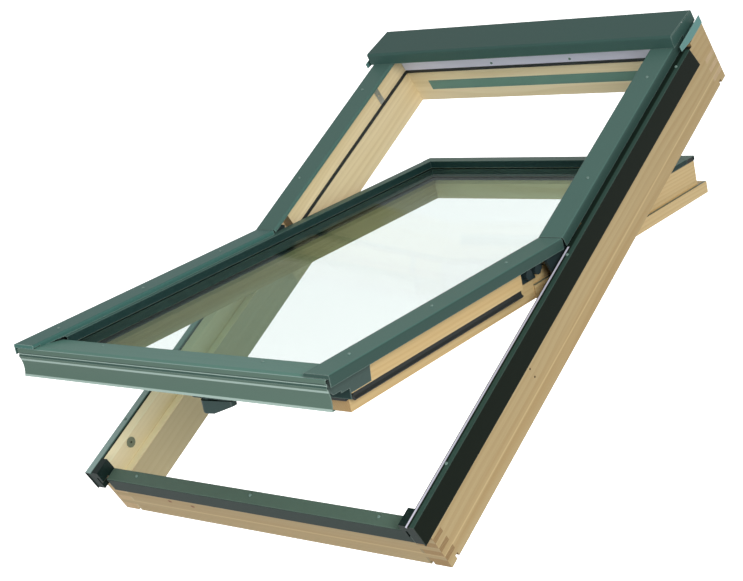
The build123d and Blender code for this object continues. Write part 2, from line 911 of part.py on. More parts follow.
# Sash side of the hinge: a half channel about the ring and an arm along the stile
channel_inner = hinge_ring_inner - hinge_fit - hinge_wall
channel_outer = hinge_ring_outer + hinge_fit + hinge_wall
channel_rim = plate_inner - running_gap * 2
with BuildPart() as hinge_sash:
    extrude(
        half_ring(channel_floor, channel_inner, channel_outer, hinge_start_angle),
        amount=channel_floor - hinge_web_inner,
    )
    web = rectangle(
        along(hinge_web_inner), (-hinge_ring_outer, arm_top), (hinge_ring_outer, arm_top + hinge_web_height)
    )
    extrude(web, amount=hinge_web_inner - sash_body)
    extrude(
        half_ring(channel_rim, channel_inner, hinge_ring_inner - hinge_fit, hinge_start_angle),
        amount=channel_rim - channel_floor,
    )
    extrude(
        half_ring(channel_rim, hinge_ring_outer + hinge_fit, channel_outer, hinge_start_angle),
        amount=channel_rim - channel_floor,
    )
    arm_face = rectangle(
        along(arm_pocket + hinge_flange),
        (-arm_length + arm_end_gap, arm_top),
        (-hinge_zone, arm_top + arm_height),
    )
    extrude(arm_face, amount=hinge_flange)
    neck_face = rectangle(
        along(arm_pocket + hinge_flange),
        (-hinge_zone - arm_end_gap, arm_top),
        (-hinge_ring_outer + arm_neck_overlap, arm_top + arm_height - arm_neck_narrow),
    )
    extrude(neck_face, amount=hinge_flange)
    for boss_y in (-arm_boss_near, -arm_boss_far):
        with BuildSketch(along(arm_pocket + hinge_flange)) as boss:
            with Locations((boss_y, arm_top + arm_height / 2)):
                Circle(arm_boss)
        extrude(boss.sketch, amount=-(sash_low - arm_pocket - hinge_flange))
save_pair(hinge_sash.part, "hinge_sash", on_sash=True)

# Stiles of the sash
saddle_slot = glazing_top + glazing_leg
with BuildPart() as stile:
    low_section = polygon(
        across(sash_end_low),
        (sight_half, sash_depth),
        (sash_inner_low, sash_depth),
        (sash_inner_low, sash_side_depth),
        (sash_low, sash_side_depth),
        (sash_low, sheet),
        (saddle_inner, sheet),
        (saddle_inner, saddle_slot),
        (sash_body, saddle_slot),
        (sash_body, sash_wood_top + eased),
        (sash_body - eased, sash_wood_top),
        (glass_half + glass_gap, sash_wood_top),
        (glass_half + glass_gap, rebate_depth),
        (sight_half + arris, rebate_depth),
        (sight_half, rebate_depth + arris),
    )
    extrude(low_section, amount=-hinge_zone - sash_end_low)
    up_section = polygon(
        across(-hinge_zone),
        (sight_half, sash_depth),
        (bead_up, sash_depth),
        (bead_up, sash_bead_depth),
        (sash_body, sash_bead_depth),
        (sash_body, sash_wood_top + eased),
        (sash_body - eased, sash_wood_top),
        (glass_half + glass_gap, sash_wood_top),
        (glass_half + glass_gap, rebate_depth),
        (sight_half + arris, rebate_depth),
        (sight_half, rebate_depth + arris),
    )
    extrude(up_section, amount=sash_inner_end_up + hinge_zone)
    low_end = rectangle(
        along(sash_low), (sash_end_low, sash_low_depth), (sash_inner_end_low, sash_depth)
    )
    extrude(low_end, amount=sash_low - sight_half, mode=Mode.SUBTRACT)
    up_end = polygon(
        along(sash_low),
        (sash_end_up - eased, 0),
        (sash_end_up - eased, sash_wood_top),
        (sash_end_up, sash_wood_top + eased),
        (sash_end_up, sash_bead_depth),
        (sash_inner_end_up, sash_bead_depth),
        (sash_inner_end_up, 0),
    )
    extrude(up_end, amount=sash_low - sight_half, mode=Mode.SUBTRACT)
    arm_seat = rectangle(along(sash_low), (-arm_length, 0), (-hinge_zone, sash_side_depth))
    extrude(arm_seat, amount=sash_low - arm_pocket, mode=Mode.SUBTRACT)
sash_holes = screw_holes(cover_screws + bottom_screws)
save_pair(stile.part - sash_holes, "sash_stile", on_sash=True)

# Bottom and top rails of the sash
with BuildPart() as sash_rail_bottom:
    section = polygon(
        along(0),
        (low_sight, sash_depth),
        (sash_inner_end_low, sash_depth),
        (sash_inner_end_low, sash_low_depth),
        (sash_end_low, sash_low_depth),
        (sash_end_low, rebate_depth),
        (low_sight - arris, rebate_depth),
        (low_sight, rebate_depth + arris),
    )
    extrude(section, amount=sight_half, both=True)
    bolt_way = rectangle(
        across(sash_inner_end_low),
        (handle_x - bolt_width / 2 - bolt_slack, bolt_mid - bolt_height / 2 - bolt_slack),
        (handle_x + bolt_width / 2 + bolt_slack, bolt_mid + bolt_height / 2 + bolt_slack),
    )
    extrude(bolt_way, amount=bolt_length + bolt_setback + bolt_slack, mode=Mode.SUBTRACT)
save(sash_rail_bottom.part - sash_holes, "sash_rail_bottom", on_sash=True)

with BuildPart() as sash_rail_top:
    section = polygon(
        along(0),
        (up_sight, sash_depth),
        (sash_inner_end_up, sash_depth),
        (sash_inner_end_up, sash_bead_depth),
        (sash_end_up, sash_bead_depth),
        (sash_end_up, rebate_depth),
        (up_sight + arris, rebate_depth),
        (up_sight, rebate_depth + arris),
    )
    extrude(section, amount=sight_half, both=True)
    upstand = polygon(
        along(0),
        (glass_up + glass_gap, rebate_depth),
        (glass_up + glass_gap, sash_wood_top),
        (sash_end_up - eased, sash_wood_top),
        (sash_end_up, sash_wood_top + eased),
        (sash_end_up, rebate_depth),
    )
    extrude(upstand, amount=glass_half + glass_gap, both=True)
save(sash_rail_top.part, "sash_rail_top", on_sash=True)

# Glass unit: two panes, the spacer between them and the seal under them
glass_mid = (glass_low + glass_up) / 2
glass_height = glass_up - glass_low


def pane_at(depth):
    """One pane of the glass unit, with its outer face at a depth."""
    with BuildPart() as sheet_of_glass:
        with BuildSketch(level(depth)) as outline:
            with Locations((0, glass_mid)):
                Rectangle(2 * glass_half, glass_height)
        extrude(outline.sketch, amount=-pane)
    return sheet_of_glass.part


def border_at(depth, width, height):
    """Border that runs round the edge of the glass."""
    with BuildPart() as border:
        with BuildSketch(level(depth)) as outline:
            with Locations((0, glass_mid)):
                Rectangle(2 * glass_half, glass_height)
                Rectangle(2 * (glass_half - width), glass_height - 2 * width, mode=Mode.SUBTRACT)
        extrude(outline.sketch, amount=-height)
    return border.part


save(pane_at(glass_depth), "glass_outer", on_sash=True)
save(pane_at(inner_pane_depth), "glass_inner", on_sash=True)
save(border_at(glass_depth + pane, spacer_width, cavity), "glass_spacer", on_sash=True)
save(border_at(seal_depth, seal_width, glass_seal_height), "glass_seal", on_sash=True)

# Glazing profiles, clipped over the wood and resting on the glass
glazing_outer = sash_body + sheet
glazing_start = plate_edge + sheet
with BuildPart() as glazing_side:
    section = folded(
        across(sash_end_low),
        sheet_bend,
        (glazing_outer, glazing_top + glazing_leg),
        (glazing_outer, glazing_top),
        (glazing_inner, glazing_top),
        (glazing_inner, glass_depth),
    )
    extrude(section, amount=up_sight + glazing_lap - sash_end_low)
    beside_plate = rectangle(along(cover_inner), (sash_end_low, glazing_top), (glazing_start, glass_depth))
    extrude(beside_plate, amount=cover_inner - glazing_inner, mode=Mode.SUBTRACT)
save_pair(glazing_side.part, "glazing_profile", on_sash=True)

with BuildPart() as glazing_head:
    section = folded(
        along(0),
        sheet_bend,
        (sash_end_up + sheet, glazing_top + glazing_leg),
        (sash_end_up + sheet, glazing_top),
        (up_sight + glazing_lap, glazing_top),
        (up_sight + glazing_lap, glass_depth),
    )
    extrude(section, amount=glazing_outer, both=True)
    for side in (-1, 1):
        beside_wood = rectangle(
            along(side * glazing_outer), (up_sight, glazing_top + sheet), (glass_up + glass_gap, glass_depth)
        )
        extrude(beside_wood, amount=side * (glazing_outer - glass_half - glass_gap), mode=Mode.SUBTRACT)
save(glazing_head.part, "glazing_profile_top", on_sash=True)

# Lower covers, on the sash, each closed by a folded end
with BuildPart() as lower_cover:
    section = folded(
        across(-cover_end),
        cover_bend,
        (cover_outer, cover_drop - edge_turn),
        (cover_outer, 0),
        (cover_inner, 0),
        (cover_inner, cover_lip),
    )
    extrude(section, amount=cover_end - cover_gap)
    lip_cut = rectangle(
        across(-cover_end), (cover_inner - cover_foot_cut, cover_foot), (cover_inner + 2 * sheet, cover_drop)
    )
    extrude(lip_cut, amount=cover_foot_length, mode=Mode.SUBTRACT)
    folded_end = rectangle(
        across(-cover_end), (cover_inner + sheet / 2, sheet / 2), (cover_outer - sheet / 2, cover_end_height)
    )
    extrude(folded_end, amount=sheet)
save_pair(lower_cover.part - sash_holes, "lower_cover", on_sash=True)

# Lower glazing profile: it holds the lower edge of the glass and carries the bottom cover
with BuildPart() as glazing_low:
    leg = rectangle(
        along(0), (sash_end_low - sheet, plate_edge_depth), (sash_end_low, sash_low_depth - eased)
    )
    extrude(leg, amount=sash_low - sheet, both=True)
    with BuildSketch(plate_slope.offset(-sheet)) as flange:
        with Locations((0, flange_near - flange_width / 2)):
            Rectangle(2 * (sash_low - sheet), flange_width)
    extrude(flange.sketch, amount=-sheet)
save(glazing_low.part - sash_holes, "glazing_profile_bottom", on_sash=True)

# Bottom cover: a sloping plate under the ends of the side covers, a ridge, then the apron
with BuildPart() as bottom_cover:
    with BuildSketch(along(0)) as section:
        with BuildLine():
            FilletPolyline(
                (plate_edge, glass_depth),
                (plate_edge, plate_edge_depth),
                (plate_edge - plate_run, plate_edge_depth - plate_rise),
                (ridge, ridge_depth),
                (ridge - ridge_nose, ridge_depth + ridge_nose_drop),
                (ridge - ridge_lip, ridge_depth + ridge_lip_drop),
                (ridge - ridge_groove, ridge_depth + ridge_groove_drop),
                (-apron_front - apron_flare, apron_top),
                radius=ridge_round,
            )
            ThreePointArc(
                (-apron_front - apron_flare, apron_top),
                (-apron_front + apron_hollow, (apron_top + apron_bottom) / 2),
                (-apron_front, apron_bottom),
            )
            Line((-apron_front, apron_bottom), (-apron_front + apron_hem, apron_bottom + eased))
            offset(amount=sheet, side=Side.RIGHT)
        make_face()
    extrude(section.sketch, amount=apron_half, both=True)
    for side in (-1, 1):
        beside_cover = rectangle(
            level(0),
            (side * (cover_inner - cover_foot_cut), -cover_end + cover_foot_length),
            (side * apron_half, plate_edge + sheet),
        )
        extrude(beside_cover, amount=-apron_bottom, mode=Mode.SUBTRACT)
save(bottom_cover.part - sash_holes, "bottom_cover", on_sash=True)

# Sash gaskets: a body in the corner between the two layers of the wood and a lip that closes on the ledge
with BuildPart() as sash_gasket:
    section = polygon(
        across(sash_inner_end_low),
        (sash_inner_low, sash_side_depth),
        (sash_inner_low + sash_gasket_body, sash_side_depth),
        (sash_inner_low + sash_gasket_body, sash_gasket_bottom - 2 * sash_gasket_lip),
        (sash_inner_low + sash_gasket_reach, sash_gasket_bottom - sash_gasket_lip),
        (sash_inner_low + sash_gasket_reach - sash_gasket_lip, sash_gasket_bottom),
        (sash_inner_low, sash_gasket_bottom - sash_gasket_lip),
    )
    extrude(section, amount=-arm_length - sash_inner_end_low)
save_pair(sash_gasket.part, "sash_gasket", on_sash=True)

with BuildPart() as sash_gasket_bottom_piece:
    section = polygon(
        along(0),
        (sash_inner_end_low, sash_low_depth),
        (sash_end_low + eased, sash_low_depth),
        (sash_end_low + 2 * eased, sash_gasket_bottom),
        (sash_inner_end_low - 2 * eased, sash_gasket_bottom),
    )
    extrude(section, amount=sash_inner_low, both=True)
save(sash_gasket_bottom_piece.part, "sash_gasket_bottom", on_sash=True)

# Corner plates on the sides of the sash, reaching forward to carry the bottom cover
with BuildPart() as corner_plate:
    outline = polygon(
        along(sash_low + sheet),
        (-corner_plate_up, corner_plate_top),
        (-corner_plate_low, corner_plate_top),
        (-corner_plate_low, corner_plate_neck - corner_plate_tip),
        (-corner_plate_low + corner_plate_tip, corner_plate_neck),
        (-corner_plate_low + corner_notch, corner_plate_neck),
        (-corner_plate_low + corner_notch, corner_plate_rest),
        (-corner_plate_low + corner_notch + corner_plate_step, corner_plate_rest),
        (-corner_plate_low + corner_notch + corner_plate_step, corner_plate_bottom),
        (-corner_plate_up - corner_plate_slant, corner_plate_bottom),
    )
    extrude(outline, amount=sheet)
save_pair(corner_plate.part, "corner_plate", on_sash=True)

# Handle on the room side of the sash
with BuildPart() as handle_base:
    with BuildSketch(level(sash_depth)) as outline:
        with Locations((handle_x + handle_plate_shift, handle_y)):
            SlotOverall(handle_plate_length, handle_plate_width)
    extrude(outline.sketch, amount=-handle_plate_height)
    with BuildSketch(level(sash_depth)) as bore:
        with Locations((handle_x, handle_y)):
            Circle(spindle_radius + spindle_fit)
    extrude(bore.sketch, amount=-handle_plate_height, mode=Mode.SUBTRACT)
    rim = handle_base.faces().sort_by(Axis.Z)[0].outer_wire().edges()
    fillet(rim, lever_round / 2)
save(handle_base.part, "handle_base", on_sash=True)

# The handle: a round knob on the spindle, with a lever that thins out towards its tip
neck_depth = sash_depth + handle_plate_height
lever_depth = neck_depth + neck_height
lever_end = handle_x + lever_length + lever_tip
with BuildPart() as handle:
    with BuildSketch(level(sash_depth + running_gap)) as spindle:
        with Locations((handle_x, handle_y)):
            Circle(spindle_radius)
    extrude(spindle.sketch, amount=-(lever_depth - sash_depth))
    with BuildSketch(level(neck_depth + running_gap)) as neck:
        with Locations((handle_x, handle_y)):
            Circle(neck_radius)
    extrude(neck.sketch, amount=-neck_height)
    with BuildSketch(level(lever_depth)) as lever:
        with Locations((handle_x, handle_y)):
            Circle(knob_radius)
        with Locations((handle_x + lever_length, handle_y)):
            Circle(lever_tip)
        make_hull()
    extrude(lever.sketch, amount=-knob_height)
    taper_cut = polygon(
        across(handle_y - knob_radius),
        (handle_x + knob_radius, lever_depth + knob_height),
        (lever_end, lever_depth + lever_tip_height),
        (lever_end, lever_depth + knob_height),
    )
    extrude(taper_cut, amount=2 * knob_radius, mode=Mode.SUBTRACT)
    round_end = handle.faces().sort_by(Axis.Z)[0].edges().filter_by(GeomType.CIRCLE)
    fillet(round_end, lever_round)
save(handle.part, "handle", on_sash=True)

with BuildPart() as latch_bolt:
    face = rectangle(
        across(sash_inner_end_low + bolt_setback),
        (handle_x - bolt_width / 2, bolt_mid - bolt_height / 2),
        (handle_x + bolt_width / 2, bolt_mid + bolt_height / 2),
    )
    extrude(face, amount=bolt_length)
    nose = latch_bolt.faces().sort_by(Axis.Y)[0].edges()
    chamfer(nose, bolt_setback)
save(latch_bolt.part, "latch_bolt", on_sash=True)

# Screws, one group on the frame and one on the sash
save(screws(side_screws + sill_screws + head_screws + upper_cover_screws), "frame_screws")
save(screws(cover_screws + bottom_screws), "sash_screws", on_sash=True)
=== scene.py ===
"""Roof window that turns about its middle: its wood, coatings and glass, and a stage."""

import json
import math
from collections import namedtuple

import bpy
from bpy.props import FloatProperty, FloatVectorProperty, PointerProperty
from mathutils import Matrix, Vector


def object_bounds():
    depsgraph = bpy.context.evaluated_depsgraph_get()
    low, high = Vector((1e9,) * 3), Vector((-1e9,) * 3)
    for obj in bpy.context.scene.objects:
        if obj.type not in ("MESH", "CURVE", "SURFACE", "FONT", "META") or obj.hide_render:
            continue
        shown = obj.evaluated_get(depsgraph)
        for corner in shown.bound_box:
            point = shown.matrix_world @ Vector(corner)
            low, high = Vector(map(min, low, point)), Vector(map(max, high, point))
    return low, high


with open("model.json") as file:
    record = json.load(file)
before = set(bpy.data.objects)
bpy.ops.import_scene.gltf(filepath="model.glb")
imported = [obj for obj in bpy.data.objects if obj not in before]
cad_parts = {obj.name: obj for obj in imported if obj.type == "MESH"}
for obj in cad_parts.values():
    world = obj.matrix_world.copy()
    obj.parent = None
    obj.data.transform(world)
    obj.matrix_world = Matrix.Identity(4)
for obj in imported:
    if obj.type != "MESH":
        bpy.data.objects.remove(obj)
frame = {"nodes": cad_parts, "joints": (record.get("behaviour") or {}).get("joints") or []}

CAD_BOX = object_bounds()

bl_info = {
    "name": "Roof window finishes",
    "version": (1, 0, 0),
    "blender": (4, 5, 0),
    "location": "3D View > Sidebar > Roof window",
    "description": "Gives the roof window its wood, coatings and glass, and sets it on a stage",
    "category": "Object",
}

NODES = frame["nodes"]
JOINTS = {joint["name"]: joint for joint in frame["joints"]}
PIVOT = Vector(JOINTS["sash_pivot"]["pos_m"])
REST_ANGLE = -math.radians(JOINTS["sash_pivot"]["range_deg"][0])
FRAME_TOP = CAD_BOX[1][1]
X, Y, Z = range(3)
WHITE = (1.0, 1.0, 1.0, 1.0)

# Faces: how far they look one way, 1 being straight, where a zone starts and where it is full
SQUARE_CUT = (0.75, 0.95)
LEVEL = (0.7, 0.9)
SLANTED = (0.5, 0.75)
UNDER_SHEET = (0.5, 0.8)
COAT_TOP = (0.6, 0.9)

# Zones on the shut sash, in metres, where each starts and where it is full
SASH_STEP = (0.110, 0.112)
SASH_CREST = (0.1262, 0.1272)
SEAL_EDGE = (0.3345, 0.3355)
SEAL_START = (0.52, 0.53)

# Zones on the side rails, from the middle, in metres
BASE_EDGE = (0.348, 0.352)
WALL_EDGE = (0.362, 0.366)

# Knots: reach of their pull, rim and core, in knot sizes, and how long they are for their width
KNOT_REACH = (0.4, 3.2)
KNOT_RIM = (0.75, 1.15)
KNOT_CORE = (0.2, 0.9)
KNOT_STRETCH = 1.5
KNOT_PULL = 0.008

# Rings and grain
SEED_STEP = 1.7
RING_RISE = (0.25, 0.92)
RING_FALL = (0.93, 1.0)
RING_WARP = 0.012
PITH_SWAY = 0.03
Grain = namedtuple("Grain", "along across scale detail roughness")
WARP = Grain(0.8, 3.0, 2.4, 1.0, 0.4)
FIBRE = Grain(2.4, 190.0, 1.0, 3.0, 0.6)
PORES = Grain(16.0, 800.0, 1.0, 1.0, 0.5)
STREAK = Grain(0.9, 34.0, 1.0, 2.0, 0.5)

# A board's directions, and a band of another colour on a coat, up to a place on the slope
Board = namedtuple("Board", "length side rise facing cut_end")
Band = namedtuple("Band", "axis middle half colour reach")
BAND_FADE = 0.002
RIM_RADIUS = 0.0022
RIM_TURN = (0.86, 0.995)

# Two panes have four faces, which each tint what is seen through them
PANE_FACES = 4.0


# Shader maths


class Signal:
    """A socket of a shader tree that takes part in Python's arithmetic."""

    def __init__(self, shader, socket):
        self.shader = shader
        self.socket = socket

    def _math(self, operation, first, second=0.0):
        return self.shader.node("ShaderNodeMath", {"operation": operation}, [first, second])

    def __add__(self, other):
        return self._math("ADD", self, other)

    __radd__ = __add__

    def __sub__(self, other):
        return self._math("SUBTRACT", self, other)

    def __rsub__(self, other):
        return self._math("SUBTRACT", other, self)

    def __mul__(self, other):
        return self._math("MULTIPLY", self, other)

    __rmul__ = __mul__

    def __truediv__(self, other):
        return self._math("DIVIDE", self, other)

    def __pow__(self, other):
        return self._math("POWER", self, other)

    def __abs__(self):
        return self._math("ABSOLUTE", self)

    def __mod__(self, other):
        return self._math("FLOORED_MODULO", self, other)

    def root(self):
        return self._math("SQRT", self)

    def least(self, other):
        return self._math("MINIMUM", self, other)

    def most(self, other):
        return self._math("MAXIMUM", self, other)

    def step(self, low, high):
        """Smooth rise from 0 at low to 1 at high."""
        settings = {"interpolation_type": "SMOOTHSTEP"}
        inputs = {"Value": self, "From Min": low, "From Max": high}
        return self.shader.node("ShaderNodeMapRange", settings, inputs)


class Shader:
    """A material or world under construction, with one method that makes every node."""

    def __init__(self, name, kind="materials", output="ShaderNodeOutputMaterial"):
        self.block = getattr(bpy.data, kind).new(name)
        self.block.use_nodes = True
        self.tree = self.block.node_tree
        self.tree.nodes.clear()
        self.output = self.tree.nodes.new(output)

    def node(self, kind, settings=None, inputs=None, output=0):
        """Make a node, set it, feed its sockets with values or signals, return one output."""
        made = self.tree.nodes.new(kind)
        for key, value in (settings or {}).items():
            setattr(made, key, value)
        pairs = inputs.items() if isinstance(inputs, dict) else enumerate(inputs or [])
        for key, value in pairs:
            if isinstance(value, Signal):
                self.tree.links.new(value.socket, made.inputs[key])
            else:
                made.inputs[key].default_value = value
        return Signal(self, made.outputs[output])

    def outputs(self, signal, *names):
        """Several outputs of the node that a signal comes from."""
        sockets = signal.socket.node.outputs
        return [Signal(self, sockets[name]) for name in names]

    def place(self, on_sash=False):
        """Point on the piece in metres; on the sash, as it lies when the window is shut."""
        point = self.node("ShaderNodeTexCoord", output="Object")
        if not on_sash:
            return point
        settings = {"rotation_type": "X_AXIS"}
        inputs = {"Vector": point, "Center": PIVOT, "Angle": REST_ANGLE}
        return self.node("ShaderNodeVectorRotate", settings, inputs)

    def normal(self, on_sash=False):
        """Direction that the surface faces, turned as place() turns its point."""
        facing = self.node("ShaderNodeTexCoord", output="Normal")
        if not on_sash:
            return facing
        settings = {"rotation_type": "X_AXIS"}
        inputs = {"Vector": facing, "Angle": REST_ANGLE}
        return self.node("ShaderNodeVectorRotate", settings, inputs)

    def split(self, vector):
        return self.outputs(self.node("ShaderNodeSeparateXYZ", None, [vector]), X, Y, Z)

    def join(self, x, y, z):
        return self.node("ShaderNodeCombineXYZ", None, [x, y, z])

    def noise(self, vector, scale, detail=2.0, roughness=0.5):
        inputs = {"Vector": vector, "Scale": scale, "Detail": detail, "Roughness": roughness}
        return self.node("ShaderNodeTexNoise", None, inputs)

    def blend(self, factor, first, second):
        """Mix of two colours."""
        settings = {"data_type": "RGBA", "blend_type": "MIX"}
        return self.node("ShaderNodeMix", settings, {0: factor, 6: first, 7: second}, 2)

    def bump(self, height, strength, distance):
        inputs = {"Height": height, "Strength": strength, "Distance": distance}
        return self.node("ShaderNodeBump", None, inputs)

    def rim(self, radius):
        """1 along the folds and edges of a piece, 0 on its flat faces."""
        eased = self.node("ShaderNodeBevel", {"samples": 4}, {"Radius": radius})
        flat = self.node("ShaderNodeNewGeometry", output="Normal")
        settings = {"operation": "DOT_PRODUCT"}
        along = self.node("ShaderNodeVectorMath", settings, [eased, flat], "Value")
        return 1.0 - along.step(*RIM_TURN)

    def rays(self, *kinds):
        """For each kind of ray, a signal that is 1 on it."""
        return self.outputs(self.node("ShaderNodeLightPath"), *kinds)

    def seen(self, mirrored):
        """1 where the camera sees the background, also through glass, and less in reflections."""
        kinds = ("Is Camera Ray", "Is Transmission Ray", "Is Glossy Ray")
        camera, through, glossy = self.rays(*kinds)
        return (camera + through).least(1.0).most(glossy * mirrored)

    def close(self, surface):
        """Link a surface to the output, and return the material or world."""
        self.tree.links.new(surface.socket, self.output.inputs["Surface"])
        return self.block

    def finish(self, **inputs):
        """Close the tree with a principled shader; keys are socket names with underscores."""
        named = {key.replace("_", " "): value for key, value in inputs.items()}
        return self.close(self.node("ShaderNodeBsdfPrincipled", None, named))


def distance(*parts):
    """Length of a vector with these parts."""
    total = parts[0] * parts[0]
    for part in parts[1:]:
        total = total + part * part
    return total.root()


def linear(red, green, blue):
    """Colour from the usual 0 to 255 display values."""
    def channel(value):
        value /= 255.0
        return value / 12.92 if value <= 0.04045 else ((value + 0.055) / 1.055) ** 2.4
    return (channel(red), channel(green), channel(blue), 1.0)


def shade(colour, factor):
    return (colour[0] * factor, colour[1] * factor, colour[2] * factor, 1.0)


def mixed(first, second, share):
    """Colour between two, share of the way from the first to the second."""
    return tuple(one + (other - one) * share for one, other in zip(first, second))


def dress(material, *names):
    """Give CAD nodes a material."""
    for name in names:
        mesh = NODES[name].data
        mesh.materials.clear()
        mesh.materials.append(material)
        mesh.shade_smooth()
        mesh.set_sharp_from_angle(angle=math.radians(30))


# Finishes


def board_in(s, along, on_sash):
    """A board's own directions, the way its faces look, and its cut ends."""
    x, y, z = s.split(s.place(on_sash))
    facing = s.split(s.normal(on_sash))
    length, side = (y, x) if along == "Y" else (x, y)
    cut_end = abs(facing[Y] if along == "Y" else facing[X]).step(*SQUARE_CUT)
    return Board(length, side, z, facing, cut_end)


def knots_in(board, knots):
    """How strongly knots pull the rings, and where their rims and cores show."""
    pull = spot = core = 0.0
    for at, size in knots:
        gap = distance(
            (board.length - at[0]) / (size * KNOT_STRETCH),
            (board.side - at[1]) / size,
            (board.rise - at[2]) / size,
        )
        near = 1.0 - gap.step(*KNOT_REACH)
        pull = pull + near * near
        spot = spot + (1.0 - gap.step(*KNOT_RIM))
        core = core + (1.0 - gap.step(*KNOT_CORE))
    return pull, spot, core


def sash_zones(s, look, board, colour):
    """Paint shade on the sash's wood under its sheets, and colour the seal on its bead."""
    up = board.facing[Z]
    # Painted shade on upward faces above the step and on all faces above the crest, under the
    # sheets.
    on_step = up.step(*UNDER_SHEET) * board.rise.step(*SASH_STEP)
    colour = s.blend(on_step.most(board.rise.step(*SASH_CREST)), colour, look.shadow_gap)
    seal = up.step(*LEVEL) * abs(board.side).step(*SEAL_EDGE) * board.length.step(*SEAL_START)
    return s.blend(seal * 0.85, colour, look.seal)


def side_rail_zones(s, look, board, colour, tone_and_light, slope):
    """Paint a side rail's light and shade: painted shade on its base, the slope colour on its lower
    wall and slanted faces, a painted highlight on its upward faces inside the wall, and painted
    shade under the flashing.
    """
    up, out = board.facing[Z], abs(board.side)
    upper = board.length.step(look.hinge_place - 0.01, look.hinge_place)
    low = 1.0 - board.rise.step(look.ledge_height - 0.002, look.ledge_height - 0.001)
    # Painted shade on the base in the lower half, under the sash.
    base = low * (1.0 - out.step(*BASE_EDGE)) * (1.0 - upper)
    colour = s.blend(base * 0.6, colour, shade(look.painted_base_shade, tone_and_light))
    # The lower wall and the slanted faces take the slope colour: a painted highlight on the left
    # rail, painted shade on the right.
    high = board.rise.step(look.ledge_height, look.ledge_height + 0.002)
    wall = high * (1.0 - upper) * (1.0 - board.cut_end) * (1.0 - out.step(*WALL_EDGE))
    colour = s.blend(wall * 0.5, colour, slope)
    # Painted highlight on upward faces inside the wall, such as the ledge.
    ledge = up.step(*LEVEL) * (1.0 - out.step(look.wall_face, look.wall_face + 0.004))
    colour = s.blend(ledge * 0.9, colour, look.painted_highlight)
    slant = up.step(*SLANTED) * out.step(look.wall_face - 0.002, look.wall_face)
    colour = s.blend(slant * 0.85, colour, slope)
    # Painted shade on upward faces under the flashing, and in the upper half on those outside the
    # base edge.
    flashed = out.step(look.flashing_edge, look.flashing_edge + 0.0004)
    covered = up.step(*SLANTED) * flashed.most(upper * out.step(*BASE_EDGE))
    return s.blend(covered, colour, look.shadow_gap)


def pine(name, along, seed, tone_and_light, pale=0.0, knots=(), seam=None, on_sash=False, slope=None):
    """Clear-coated pine: rings along one axis of the piece, and end grain on its cut ends."""
    look = bpy.context.scene.window_wood
    s = Shader(name)
    board = board_in(s, along, on_sash)
    shifted = board.length + seed * SEED_STEP

    def drawn(grain):
        """Noise drawn out along the board."""
        across = (board.side * grain.across, board.rise * grain.across)
        point = s.join(shifted * grain.along, *across)
        return s.noise(point, grain.scale, grain.detail, grain.roughness)

    pull, spot, core = knots_in(board, knots)
    beside = board.side - look.pith_side * math.sin(seed * 2.3 + 0.7)
    above = board.rise + look.pith_depth + PITH_SWAY * math.cos(seed * 1.9)
    radius = distance(beside, above) + (drawn(WARP) - 0.5) * RING_WARP
    if knots:
        radius = radius + pull * KNOT_PULL
    ring = (radius / look.ring_width) % 1.0
    band = ring.step(*RING_RISE) * (1.0 - ring.step(*RING_FALL))
    fibre = drawn(FIBRE)
    # The pale share lifts the board's colours toward pale cream, as painted light.
    light = mixed(shade(look.early, tone_and_light), look.pale, pale)
    dark = mixed(shade(look.late, tone_and_light), look.early, pale)
    warm = mixed(shade(look.warm, tone_and_light), look.early, pale)
    colour = s.blend(band * look.ring_contrast, light, dark)
    colour = s.blend(fibre.step(0.35, 0.75) * 0.20, colour, dark)
    colour = s.blend(drawn(STREAK).step(0.40, 0.72) * 0.42, colour, warm)
    if seam is not None:
        joint = 1.0 - abs(board.rise - seam).step(0.0005, 0.0026)
        colour = s.blend(joint * 0.7, colour, shade(look.early, tone_and_light * 1.3))
    if knots:
        colour = s.blend(spot.least(1.0) * 0.75, colour, shade(look.knot, 1.6))
        colour = s.blend(core.least(1.0) * 0.6, colour, look.knot)
    # End grain: darker cut ends, partly real end grain and partly painted shade.
    rings = s.blend(band * 0.6, shade(look.end, 1.15), shade(look.end, 0.72))
    colour = s.blend(board.cut_end * look.end_contrast, colour, rings)
    if on_sash:
        colour = sash_zones(s, look, board, colour)
    # Painted light and shade on the side rails.
    if slope:
        colour = side_rail_zones(s, look, board, colour, tone_and_light, slope)
    grain = band * 0.3 + fibre * 0.5 + drawn(PORES) * 0.35
    return s.finish(
        Base_Color=colour,
        Roughness=0.44 + fibre * 0.16 + board.cut_end * 0.2,
        Specular_IOR_Level=0.35,
        Coat_Weight=0.12,
        Coat_Roughness=0.3,
        IOR=1.45,
        Normal=s.bump(grain, 0.3, 0.0003),
    )


